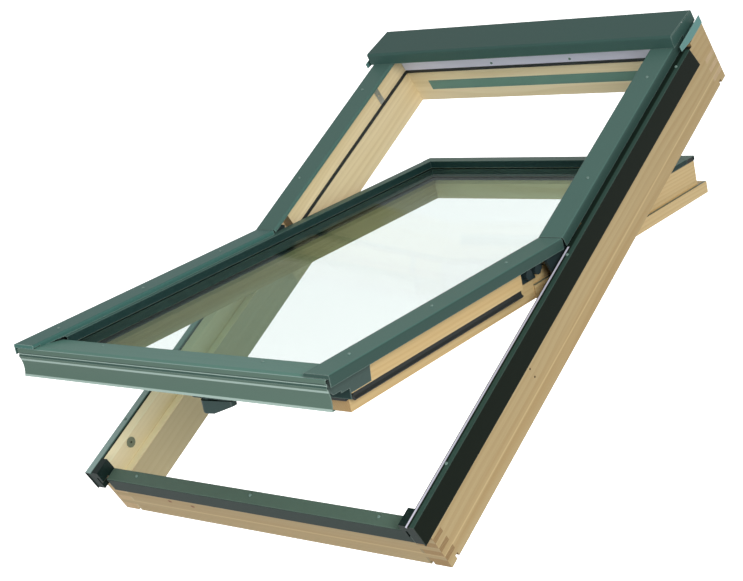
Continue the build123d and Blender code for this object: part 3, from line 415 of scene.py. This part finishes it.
def coated_metal(
    name, colour, on_sash=False, roughness=0.42, shine=0.14, edge=None, rim=0.35, bands=()
):
    """Powder-coated sheet: orange peel, faint clouds and dust; edge colours its upright faces, as
    painted shade on most coats and as the real dark coat on the side profiles; rims take a painted
    highlight.
    """
    look = bpy.context.scene.window_metal
    s = Shader(name)
    point = s.place(on_sash)
    cloud = s.noise(point, 5.0, 3.0, 0.55)
    peel = s.noise(point, 900.0)
    speck = s.noise(point, 2600.0, 1.0)
    tint = s.blend(cloud.step(0.3, 0.7) * 0.1, colour, shade(colour, 1.35))
    tint = s.blend(speck.step(0.62, 0.75) * 0.06, tint, shade(colour, 1.8))
    # Upright faces take the edge colour: painted shade on the covers, sill, glazing profiles and
    # bottom cover, the real dark coat on the side profiles.
    if edge:
        up = s.split(s.normal(on_sash))[Z]
        tint = s.blend(up.step(*COAT_TOP), edge, tint)
    # Painted highlight along folds and edges.
    tint = s.blend(s.rim(RIM_RADIUS) * rim, tint, look.rim)
    parts = s.split(point)
    # Bands: painted shade and painted highlights in strips along a coat.
    for band in bands:
        near = 1.0 - abs(parts[band.axis] - band.middle).step(band.half * 0.6, band.half)
        low = 1.0 - parts[Y].step(band.reach - BAND_FADE, band.reach)
        tint = s.blend(near * low * 0.85, tint, band.colour)
    return s.finish(
        Base_Color=tint,
        Roughness=roughness + (cloud - 0.5) * 0.10 + (speck - 0.5) * 0.04,
        Metallic=0.0,
        IOR=1.5,
        Specular_IOR_Level=shine,
        Normal=s.bump(peel, 0.10, 0.0002),
    )


def rubber(name, on_sash=False):
    """Black extruded rubber with fine drawing lines and bloom."""
    look = bpy.context.scene.window_trim
    s = Shader(name)
    point = s.place(on_sash)
    x, y, z = s.split(point)
    lines = s.noise(s.join(x * 900.0, y * 2.0, z * 900.0), 1.0)
    bloom = s.noise(point, 24.0, 3.0, 0.6)
    return s.finish(
        Base_Color=s.blend(bloom.step(0.45, 0.8) * 0.35, look.rubber, shade(look.rubber, 2.4)),
        Roughness=0.62 + (bloom - 0.5) * 0.2,
        Normal=s.bump(lines, 0.3, 0.0002),
    )


def plastic(name, colour, on_sash=False, roughness=0.45):
    """Moulded plastic with a fine eroded texture."""
    s = Shader(name)
    point = s.place(on_sash)
    pebble = s.noise(point, 420.0, 2.0, 0.6)
    cloud = s.noise(point, 14.0)
    return s.finish(
        Base_Color=s.blend(cloud.step(0.35, 0.75) * 0.2, colour, shade(colour, 1.4)),
        Roughness=roughness + (pebble - 0.5) * 0.15,
        Specular_IOR_Level=0.22,
        Normal=s.bump(pebble, 0.25, 0.00025),
    )


def plated_steel(name, on_sash=False):
    """Zinc-plated steel with faint rolling lines."""
    look = bpy.context.scene.window_trim
    s = Shader(name)
    point = s.place(on_sash)
    x, y, z = s.split(point)
    lines = s.noise(s.join(x * 1200.0, y * 60.0, z * 60.0), 1.0)
    cloud = s.noise(point, 60.0, 3.0, 0.6)
    return s.finish(
        Base_Color=s.blend(cloud.step(0.3, 0.7) * 0.5, look.steel, shade(look.steel, 0.7)),
        Metallic=1.0,
        Roughness=0.32 + (cloud - 0.5) * 0.2,
        Normal=s.bump(lines, 0.15, 0.0001),
    )


def float_glass(name, haze):
    """Pane: clear, with a faint green tint, a surface reflection and a trace of dust."""
    look = bpy.context.scene.window_trim
    s = Shader(name)
    dust = s.noise(s.place(True), 3.0, 3.0, 0.6)
    see = s.node("ShaderNodeBsdfTransparent", None, {"Color": look.pane})
    inputs = {"Base Color": look.pane_face, "Metallic": 1.0, "Roughness": 0.02 + dust * 0.02}
    mirror = s.node("ShaderNodeBsdfPrincipled", None, inputs)
    side = s.node("ShaderNodeLayerWeight", None, {"Blend": 0.5}, "Facing")
    shadow, diffuse = s.rays("Is Shadow Ray", "Is Diffuse Ray")
    kept_back = (shadow + diffuse).least(1.0) * look.pane_shade
    share = (side ** 5.0 * look.pane_shine + haze * (0.7 + dust * 0.6)).most(kept_back)
    return s.close(s.node("ShaderNodeMixShader", None, [share, see, mirror]))


# Settings that a user can change


def colour_setting(name, description, *display):
    return FloatVectorProperty(
        name=name, description=description, subtype="COLOR", size=4, min=0.0, max=1.0,
        default=linear(*display),
    )


def length_setting(name, description, default):
    return FloatProperty(name=name, description=description, default=default, unit="LENGTH")


def share_setting(name, description, default):
    return FloatProperty(name=name, description=description, default=default, subtype="FACTOR")


def power_setting(name, description, default):
    return FloatProperty(name=name, description=description, default=default, unit="POWER")


def place_setting(name, description, default):
    return FloatVectorProperty(
        name=name, description=description, subtype="XYZ", unit="LENGTH", default=default
    )


class WoodSettings(bpy.types.PropertyGroup):
    """Colours and figure of the pine."""

    early: colour_setting("Early wood", "Pale wood between the rings", 220, 195, 143)
    late: colour_setting("Late wood", "Darker lines of the rings", 184, 147, 90)
    warm: colour_setting("Warm patches", "Honey-coloured areas along a board", 208, 172, 112)
    knot: colour_setting("Knots", "Middle of a knot", 104, 62, 32)
    # Cut ends: darker than the faces, partly as real end grain and partly as painted shade.
    end: colour_setting("End grain", "Cut ends of the boards", 132, 100, 62)
    # Painted light: the pale cream that the brightest-lit boards are lifted toward.
    pale: colour_setting("Pale boards", "Sapwood of the lightest boards", 250, 230, 190)
    # Painted shade: greyer wood on the side rails' base, where the sash shades it.
    painted_base_shade: colour_setting("Lining edge", "Greyer wood on the side rails' base", 176, 168, 132)
    seal: colour_setting("Seal", "Where the upper seal lies on the sash's bead", 70, 98, 95)
    # Painted highlight: pale wood on lit ledges, slopes and the left rail's lower wall.
    painted_highlight: colour_setting("Planed faces", "Fresh wood on ledges and slopes", 255, 246, 206)
    # Painted shade: dark wood under and beside the sheet metal.
    shadow_gap: colour_setting("Under the sheets", "Stained wood under sheet metal", 16, 24, 22)
    end_contrast: share_setting("End contrast", "How strongly the end grain shows", 0.6)
    ring_contrast: share_setting("Ring contrast", "How strongly the rings show", 0.26)
    ring_width: length_setting("Ring width", "Distance between rings", 0.0042)
    pith_side: length_setting("Pith offset", "From the board sideways to the pith", 0.055)
    pith_depth: length_setting("Pith depth", "From the board down to the pith", 0.085)
    wall_face: length_setting("Wall face", "From the middle to the side rails' wall", 0.362)
    ledge_height: length_setting("Ledge height", "From the lining face to the ledge", 0.076)
    hinge_place: length_setting("Hinge place", "From the frame's bottom to its hinges", PIVOT.y)
    flashing_edge: length_setting(
        "Flashing edge", "From the middle to the sheet metal on the side rails", 0.3728
    )


class MetalSettings(bpy.types.PropertyGroup):
    """Coatings of the outer sheet metal."""

    cover: colour_setting("Covers", "Grey-green coat of the upper covers", 79, 111, 103)
    # Painted shade: the right covers' upright faces and the bottom cover's groove, set darker.
    cover_upright_shade: colour_setting("Cover edges", "Upright faces of the right covers", 54, 80, 74)
    # Painted shade and light: the sash's left and right covers share one coat, given as a darker
    # copy on the left and a lighter copy on the right.
    sash_cover: colour_setting("Left sash cover", "Coat of the sash's left cover", 67, 109, 102)
    sash_right: colour_setting("Right sash cover", "Coat of the sash's right cover", 78, 114, 105)
    bottom_cover: colour_setting("Bottom cover", "Coat of the sash's bottom cover", 92, 136, 124)
    # Painted shade: the bottom cover's upright faces, set darker than its lit top.
    apron_shade: colour_setting("Apron", "Upright faces of the bottom cover", 87, 111, 100)
    # Painted shade and painted dark reflection on the sloped faces beside the glass.
    glazing_side_shade: colour_setting("Glazing edge", "Dark faces beside the glass", 26, 52, 50)
    sill: colour_setting("Sill", "Coat of the sill cover", 84, 106, 94)
    # Painted shade: the sill cover's downward-facing front, set darker.
    sill_front_shade: colour_setting("Sill edge", "Coat on the sill cover's front", 28, 46, 42)
    # Painted shade: the hood's coat set darker than the covers'.
    hood: colour_setting("Hood", "Coat of the hood", 60, 90, 84)
    profile: colour_setting("Side profiles", "Dark coat of the side profiles", 16, 25, 17)
    # Painted reflection: the left profile's top set pale for the light that it reflects.
    profile_top_reflection: colour_setting("Left profile top", "Paler, worn top face", 150, 176, 172)
    profile_top: colour_setting("Right profile top", "Green top face", 54, 78, 70)
    strip: colour_setting("Head strip", "Pale coat of the head strip", 228, 226, 244)
    rim: colour_setting("Rims", "Light along folds and edges", 168, 190, 182)
    tray: colour_setting("Head tray", "Pale coat of the head tray", 100, 146, 142)
    plate: colour_setting("Corner plates", "Coat of the corner plates", 66, 84, 80)


class TrimSettings(bpy.types.PropertyGroup):
    """Rubber, plastic, steel and glass."""

    rubber: colour_setting("Rubber", "Gaskets", 26, 32, 31)
    plastic: colour_setting("Cap plastic", "End caps of the side profiles", 14, 34, 31)
    vent: colour_setting("Vent", "Vent body and flap", 110, 148, 135)
    hinge: colour_setting("Hinges", "Coat of the pivot hinges", 40, 54, 56)
    handle: colour_setting("Handle", "Handle and its plate", 52, 74, 72)
    screw: colour_setting("Screws", "Coated heads of the screws", 112, 138, 130)
    bushing: colour_setting("Bushing", "Bushing of the sash's locking hole", 126, 134, 112)
    steel: colour_setting("Steel", "Bolt and keeps", 178, 182, 180)
    spacer: colour_setting("Spacer", "Bar between the panes", 84, 96, 92)
    pane: colour_setting("Pane", "What the glass lets through", 236, 246, 244)
    pane_face: colour_setting("Pane face", "What the glass itself shows", 226, 240, 238)
    pane_shine: share_setting("Pane shine", "Strength of the panes' reflection", 0.22)
    pane_shade: share_setting("Pane shade", "Light that each face of a pane keeps back", 0.5)
    outer_dust: share_setting("Outer dust", "Dust on the outer pane", 0.006)
    inner_dust: share_setting("Inner dust", "Dust on the inner pane", 0.002)


class StageSettings(bpy.types.PropertyGroup):
    """Camera, light and floor."""

    camera_place: place_setting(
        "Camera place", "Where the camera stands", (2.08685, -1.13049, 1.93738)
    )
    camera_turn: FloatVectorProperty(
        name="Camera turn", description="Rotation of the camera", subtype="EULER",
        unit="ROTATION", default=[math.radians(turn) for turn in (51.28668, 26.82698, 31.76062)],
    )
    lens: FloatProperty(
        name="Lens", description="Focal length in millimetres", default=84.154, unit="CAMERA"
    )
    lens_shift: FloatVectorProperty(
        name="Lens shift", description="Sideways and upward shift of the picture", size=2,
        default=(-0.01296, -0.0451),
    )
    aim: place_setting("Aim", "Point that the lamps shine at", (0.0, 0.58, 0.05))
    key_place: place_setting("Key place", "Where the large lamp stands", (3.3, -0.5, 2.4))
    key_size: length_setting("Key size", "Width of the large lamp", 2.0)
    key: power_setting("Key light", "Power of the large lamp", 105.0)
    fill_place: place_setting("Fill place", "Where the second lamp stands", (-0.2, -3.0, 1.1))
    fill_size: length_setting("Fill size", "Width of the second lamp", 1.8)
    fill: power_setting("Fill light", "Power of the second lamp", 42.0)
    ambient: share_setting("Ambient", "Light from all round", 0.46)
    mirrored: share_setting("Mirrored", "How bright the background is in reflections", 0.35)
    floor_depth: length_setting("Floor depth", "From the lining face down to the floor", 0.62)
    floor_reach: length_setting("Floor reach", "From the middle to the floor's edge", 9.0)
    floor_grey: share_setting("Floor grey", "How pale the floor is under the lamps", 0.6)
    floor_white: FloatProperty(
        name="Floor white", description="How bright the camera sees the floor", default=1.2
    )
    pane_white: share_setting("Pane white", "White behind the panes, balanced for tint", 0.69)


# Operators


class FinishWood(bpy.types.Operator):
    """Give every pine rail and stile its own board figure"""

    bl_idname = "roof_window.finish_wood"
    bl_label = "Finish the wood"

    def execute(self, context):
        look = context.scene.window_wood
        seam = 0.028
        knot_size = 0.0035
        knots = (((-0.235, -0.009, 0.048), knot_size), ((-0.178, -0.009, 0.044), knot_size))
        # Slope colours: a painted highlight for the left rail, painted shade for the right.
        light, dark = look.painted_highlight, look.shadow_gap
        # Board brightness: partly each board's own colour and partly painted light and shade for
        # the way it faces and what shades it; the pale share lifts the left rail and both top rails
        # as painted light.
        boards = {
            "frame_rail_left": dict(along="Y", seed=1, tone_and_light=1.1, pale=0.75, slope=light),
            "frame_rail_right": dict(along="Y", seed=2, tone_and_light=0.66, seam=seam, slope=dark),
            "frame_rail_top": dict(along="X", seed=3, tone_and_light=1.1, pale=1.2),
            "frame_rail_bottom": dict(along="X", seed=4, tone_and_light=0.57, seam=seam, knots=knots),
            "sash_stile_left": dict(along="Y", seed=5, tone_and_light=0.92, on_sash=True),
            "sash_stile_right": dict(along="Y", seed=6, tone_and_light=0.92, on_sash=True),
            "sash_rail_top": dict(along="X", seed=7, tone_and_light=1.25, pale=0.4, on_sash=True),
            "sash_rail_bottom": dict(along="X", seed=8, tone_and_light=0.92, on_sash=True),
        }
        for node, figure in boards.items():
            dress(pine("pine_" + node, **figure), node)
        return {"FINISHED"}


class FinishMetal(bpy.types.Operator):
    """Coat the covers, profiles, sill, hood and strips"""

    bl_idname = "roof_window.finish_metal"
    bl_label = "Coat the sheet metal"

    def execute(self, context):
        look = context.scene.window_metal
        # Painted shade on the right covers' upright faces.
        edge = look.cover_upright_shade
        dress(coated_metal("left_cover_coat", look.cover), "upper_cover_left")
        dress(coated_metal("right_cover_coat", look.cover, edge=edge), "upper_cover_right")
        dress(coated_metal("sill_coat", look.sill, edge=look.sill_front_shade), "sill_cover")
        dress(coated_metal("hood_coat", look.hood), "hood")
        dress(coated_metal("left_sash_coat", look.sash_cover, True, rim=0.6), "lower_cover_left")
        right_sash = coated_metal("right_sash_coat", look.sash_right, True, edge=edge)
        dress(right_sash, "lower_cover_right")
        dress(
            coated_metal("glazing_coat", look.cover, True, edge=look.glazing_side_shade),
            "glazing_profile_left", "glazing_profile_right",
            "glazing_profile_top", "glazing_profile_bottom",
        )
        dress(coated_metal("strip_coat", look.strip, roughness=0.45), "head_strip")
        dress(coated_metal("tray_coat", look.tray, roughness=0.45), "head_tray")
        dress(
            coated_metal("plate_coat", look.plate, on_sash=True),
            "corner_plate_left", "corner_plate_right",
        )
        self.bottom_cover(look)
        self.side_profiles(look)
        return {"FINISHED"}

    @staticmethod
    def bottom_cover(look):
        """Coat the bottom cover, with its groove in shade and its nose in the light."""
        groove = Band(Z, 0.1278, 0.0042, look.cover_upright_shade, FRAME_TOP)
        nose = Band(Y, -0.0434, 0.0008, look.rim, FRAME_TOP)
        # The upright faces take painted shade.
        coat = coated_metal(
            "bottom_cover_coat", look.bottom_cover, True, edge=look.apron_shade, bands=(groove, nose)
        )
        dress(coat, "bottom_cover")

    @staticmethod
    def side_profiles(look):
        """Coat the side profiles: a pale top as painted reflection on the left, green on the right
        with a band of painted shade and, in the lower half, a painted highlight.
        """
        # Right profile: a band of painted shade along its inner side, and in the lower half a
        # painted highlight.
        gap_shade_band = Band(X, 0.3788, 0.0050, look.profile, FRAME_TOP)
        glint_band = Band(X, 0.3766, 0.0026, look.strip, PIVOT.y)
        inner_edges = {
            # Left profile: a pale top as painted reflection, and its inner side in the cover colour
            # in place of the dark coat, as painted light.
            "left": (look.profile_top_reflection, (Band(X, -0.3756, 0.0012, look.cover, FRAME_TOP),)),
            "right": (look.profile_top, (gap_shade_band, glint_band)),
        }
        for side, (top, bands) in inner_edges.items():
            coat = coated_metal(
                "profile_coat_" + side, top, roughness=0.28, shine=0.05, edge=look.profile,
                rim=0.15, bands=bands,
            )
            dress(coat, "side_profile_" + side)


class FinishTrim(bpy.types.Operator):
    """Finish the gaskets, plastic pieces, hinges, handle and screws"""

    bl_idname = "roof_window.finish_trim"
    bl_label = "Finish the trim"

    def execute(self, context):
        look = context.scene.window_trim
        satin = 0.35
        finishes = (
            (rubber("frame_rubber"),
             "frame_gasket_left", "frame_gasket_right", "frame_gasket_top"),
            (rubber("sash_rubber", True),
             "sash_gasket_left", "sash_gasket_right", "sash_gasket_bottom", "glass_seal"),
            (plastic("cap_plastic", look.plastic), "profile_end_cap_left", "profile_end_cap_right"),
            (plastic("vent_plastic", look.vent), "vent_body", "vent_flap"),
            (plastic("hinge_coat", look.hinge, False, satin),
             "hinge_frame_left", "hinge_frame_right"),
            (plastic("sash_hinge_coat", look.hinge, True, satin),
             "hinge_sash_left", "hinge_sash_right"),
            (plastic("handle_coat", look.handle, True, satin), "handle", "handle_base"),
            (plastic("frame_screw_coat", look.screw), "frame_screws"),
            (plastic("sash_screw_coat", look.screw, True), "sash_screws"),
            (plated_steel("frame_steel"), "upper_keep_plate", "latch_keep"),
            (plated_steel("bolt_steel", True), "latch_bolt"),
            (plastic("bushing_plastic", look.bushing), "bolt_bushing"),
            (coated_metal("spacer_metal", look.spacer, True, 0.5), "glass_spacer"),
        )
        for material, *nodes in finishes:
            dress(material, *nodes)
        return {"FINISHED"}


class FinishGlass(bpy.types.Operator):
    """Give the two panes their glass"""

    bl_idname = "roof_window.finish_glass"
    bl_label = "Finish the glass"

    def execute(self, context):
        look = context.scene.window_trim
        dress(float_glass("outer_pane", look.outer_dust), "glass_outer")
        dress(float_glass("inner_pane", look.inner_dust), "glass_inner")
        return {"FINISHED"}


class BuildStage(bpy.types.Operator):
    """Set up the floor, the lights and the camera"""

    bl_idname = "roof_window.build_stage"
    bl_label = "Build the stage"

    def execute(self, context):
        look = context.scene.window_stage
        self.floor(look, context.scene.window_trim.pane)
        self.world(look)
        self.lamp("key_lamp", look.key_place, look.aim, look.key_size, look.key)
        self.lamp("fill_lamp", look.fill_place, look.aim, look.fill_size, look.fill)
        self.camera(look)
        context.scene.view_settings.view_transform = "Standard"
        return {"FINISHED"}

    @staticmethod
    def floor(look, pane):
        """Lay a pale floor that the camera sees as white, also through the tinted panes."""
        reach = look.floor_reach
        mesh = bpy.data.meshes.new("floor")
        corners = [(-reach, -reach, 0), (reach, -reach, 0), (reach, reach, 0), (-reach, reach, 0)]
        mesh.from_pydata(corners, [], [(0, 1, 2, 3)])
        plane = bpy.data.objects.new("floor", mesh)
        plane.location.z = -look.floor_depth
        bpy.context.collection.objects.link(plane)
        s = Shader("pale_floor")
        base = s.node("ShaderNodeBsdfDiffuse", None, {"Color": shade(WHITE, look.floor_grey)})
        faces, = s.rays("Transparent Depth")
        balanced = tuple(look.pane_white / channel ** PANE_FACES for channel in pane[:3])
        white = s.blend((faces / PANE_FACES).least(1.0), WHITE, (*balanced, 1.0))
        inputs = {"Color": white, "Strength": s.seen(look.mirrored) * look.floor_white}
        glow = s.node("ShaderNodeEmission", None, inputs)
        mesh.materials.append(s.close(s.node("ShaderNodeAddShader", None, [base, glow])))

    @staticmethod
    def world(look):
        """Light the scene evenly from all round, and show the camera white."""
        s = Shader("studio", "worlds", "ShaderNodeOutputWorld")
        inputs = {"Value": s.seen(look.mirrored), "To Min": look.ambient, "To Max": 1.0}
        strength = s.node("ShaderNodeMapRange", None, inputs)
        inputs = {"Color": WHITE, "Strength": strength}
        bpy.context.scene.world = s.close(s.node("ShaderNodeBackground", None, inputs))

    @staticmethod
    def lamp(name, place, aim, size, power):
        data = bpy.data.lights.new(name, "AREA")
        data.shape = "DISK"
        data.size = size
        data.energy = power
        lamp = bpy.data.objects.new(name, data)
        lamp.location = place
        lamp.rotation_euler = (Vector(aim) - Vector(place)).to_track_quat("-Z", "Y").to_euler()
        bpy.context.collection.objects.link(lamp)

    @staticmethod
    def camera(look):
        data = bpy.data.cameras.new("camera")
        data.sensor_width = 36.0
        data.lens = look.lens
        data.shift_x, data.shift_y = look.lens_shift
        camera = bpy.data.objects.new("camera", data)
        camera.location = look.camera_place
        camera.rotation_euler = look.camera_turn
        bpy.context.collection.objects.link(camera)
        bpy.context.scene.camera = camera


class SidebarPanel(bpy.types.Panel):
    """Buttons for each finish of the roof window and its stage, with their settings"""

    bl_idname = "VIEW3D_PT_roof_window"
    bl_label = "Roof window"
    bl_space_type = "VIEW_3D"
    bl_region_type = "UI"
    bl_category = "Roof window"

    def draw(self, context):
        for operator in OPERATORS:
            self.layout.operator(operator.bl_idname)
        for group in SETTINGS:
            settings = getattr(context.scene, group)
            for name in settings.__annotations__:
                self.layout.prop(settings, name)


SETTINGS = {
    "window_wood": WoodSettings,
    "window_metal": MetalSettings,
    "window_trim": TrimSettings,
    "window_stage": StageSettings,
}
OPERATORS = (FinishWood, FinishMetal, FinishTrim, FinishGlass, BuildStage)


def register():
    """Register the settings, operators and panel."""
    for group, kind in SETTINGS.items():
        bpy.utils.register_class(kind)
        setattr(bpy.types.Scene, group, PointerProperty(type=kind))
    for operator in OPERATORS:
        bpy.utils.register_class(operator)
    bpy.utils.register_class(SidebarPanel)


def unregister():
    """Take the settings, operators and panel away again."""
    bpy.utils.unregister_class(SidebarPanel)
    for operator in reversed(OPERATORS):
        bpy.utils.unregister_class(operator)
    for group, kind in reversed(SETTINGS.items()):
        delattr(bpy.types.Scene, group)
        bpy.utils.unregister_class(kind)


def main():
    """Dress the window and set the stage."""
    register()
    for operator in OPERATORS:
        group, call = operator.bl_idname.split(".")
        getattr(getattr(bpy.ops, group), call)()


if __name__ == "__main__":
    main()
